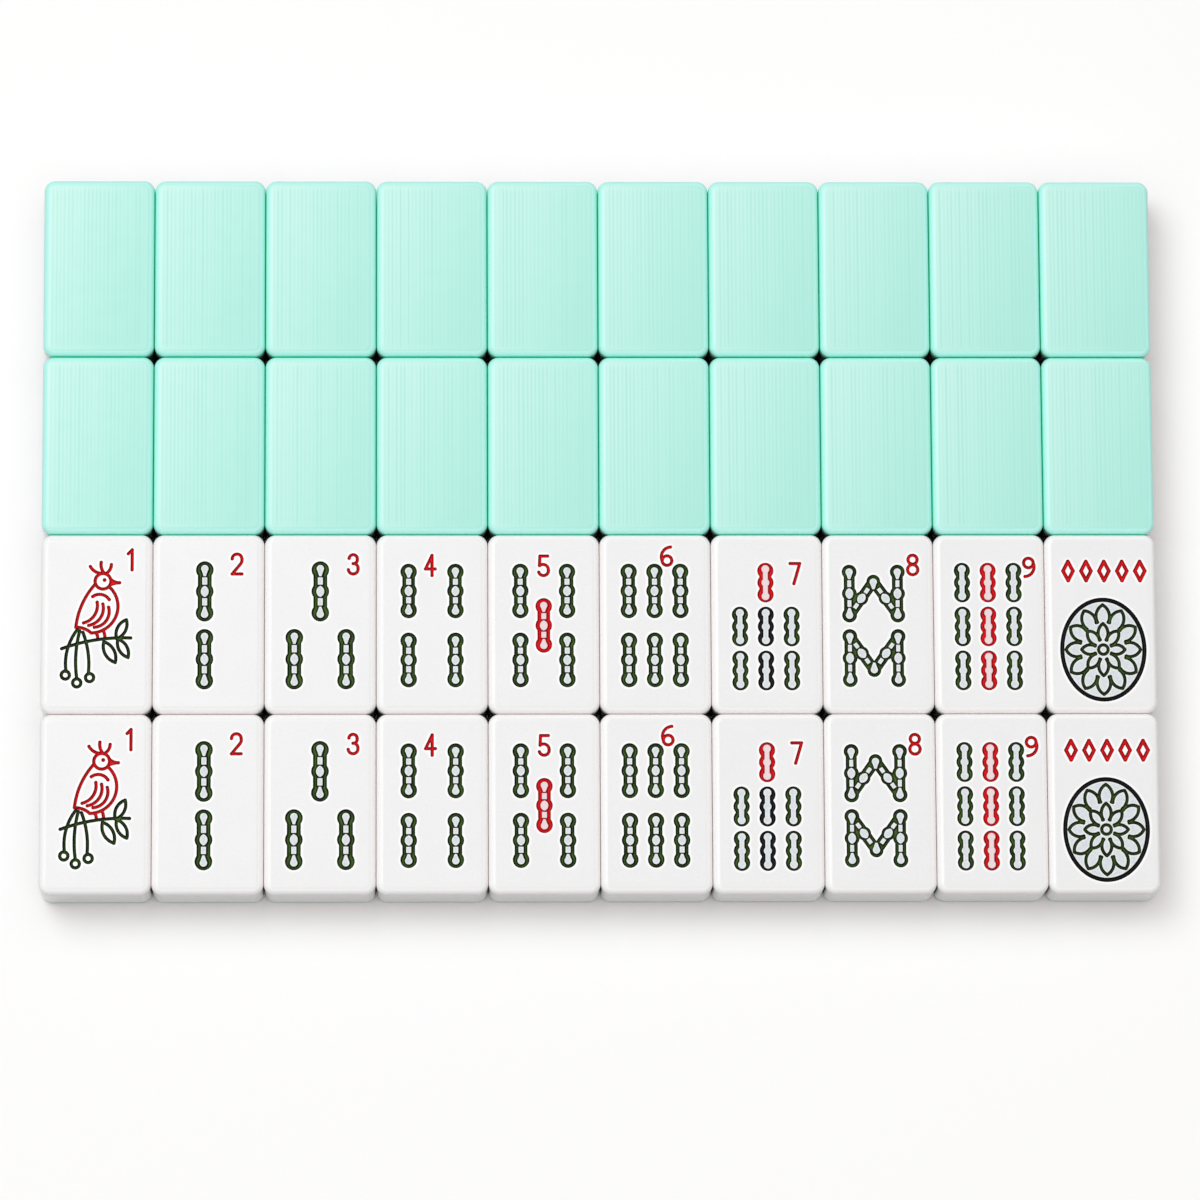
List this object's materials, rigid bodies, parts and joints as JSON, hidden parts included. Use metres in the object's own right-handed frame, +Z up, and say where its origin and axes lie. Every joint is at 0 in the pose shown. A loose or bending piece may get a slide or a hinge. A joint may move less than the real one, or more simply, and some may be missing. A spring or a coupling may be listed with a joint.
{
  "type": "mahjong tile set",
  "caption": "Loose layered mahjong tiles laid edge to edge in a block: mint backs up in the far rows, white engraved and painted bamboo-suit and wild faces up in the near rows.",
  "frame": {"origin": "middle of the block of tiles, on the plane that the tiles rest on", "axes": "+X from the ones to the wild tiles, +Y away from the reader towards the face-down rows, +Z up"},
  "size_m": [0.202, 0.1316, 0.0127],
  "materials": {
    "white_resin": "polished",
    "mint_resin": "polished",
    "green_paint": "glossy enamel",
    "red_paint": "glossy enamel",
    "navy_paint": "glossy enamel",
    "black_paint": "glossy enamel",
    "pale_paint": "thin wash"
  },
  "bodies": {
    "root": {"back_a1": "mint_resin", "back_a2": "mint_resin", "back_a3": "mint_resin", "back_a4": "mint_resin", "back_a5": "mint_resin", "back_a6": "mint_resin", "back_a7": "mint_resin", "back_a8": "mint_resin", "back_a9": "mint_resin", "back_a10": "mint_resin", "back_b1": "mint_resin", "back_b2": "mint_resin", "back_b3": "mint_resin", "back_b4": "mint_resin", "back_b5": "mint_resin", "back_b6": "mint_resin", "back_b7": "mint_resin", "back_b8": "mint_resin", "back_b9": "mint_resin", "back_b10": "mint_resin", "one_front_c": "white_resin", "two_front_c": "white_resin", "three_front_c": "white_resin", "four_front_c": "white_resin", "five_front_c": "white_resin", "six_front_c": "white_resin", "seven_front_c": "white_resin", "eight_front_c": "white_resin", "nine_front_c": "white_resin", "wild_front_c": "white_resin", "one_front_d": "white_resin", "two_front_d": "white_resin", "three_front_d": "white_resin", "four_front_d": "white_resin", "five_front_d": "white_resin", "six_front_d": "white_resin", "seven_front_d": "white_resin", "eight_front_d": "white_resin", "nine_front_d": "white_resin", "wild_front_d": "white_resin", "lower_fronts_a": "white_resin", "lower_fronts_b": "white_resin", "lower_backs_c": "mint_resin", "lower_backs_d": "mint_resin", "green_paint_c": "green_paint", "red_paint_c": "red_paint", "navy_paint_c": "navy_paint", "black_paint_c": "black_paint", "pale_paint_c": "pale_paint", "green_paint_d": "green_paint", "red_paint_d": "red_paint", "navy_paint_d": "navy_paint", "black_paint_d": "black_paint", "pale_paint_d": "pale_paint"}
  },
  "joints": []
}
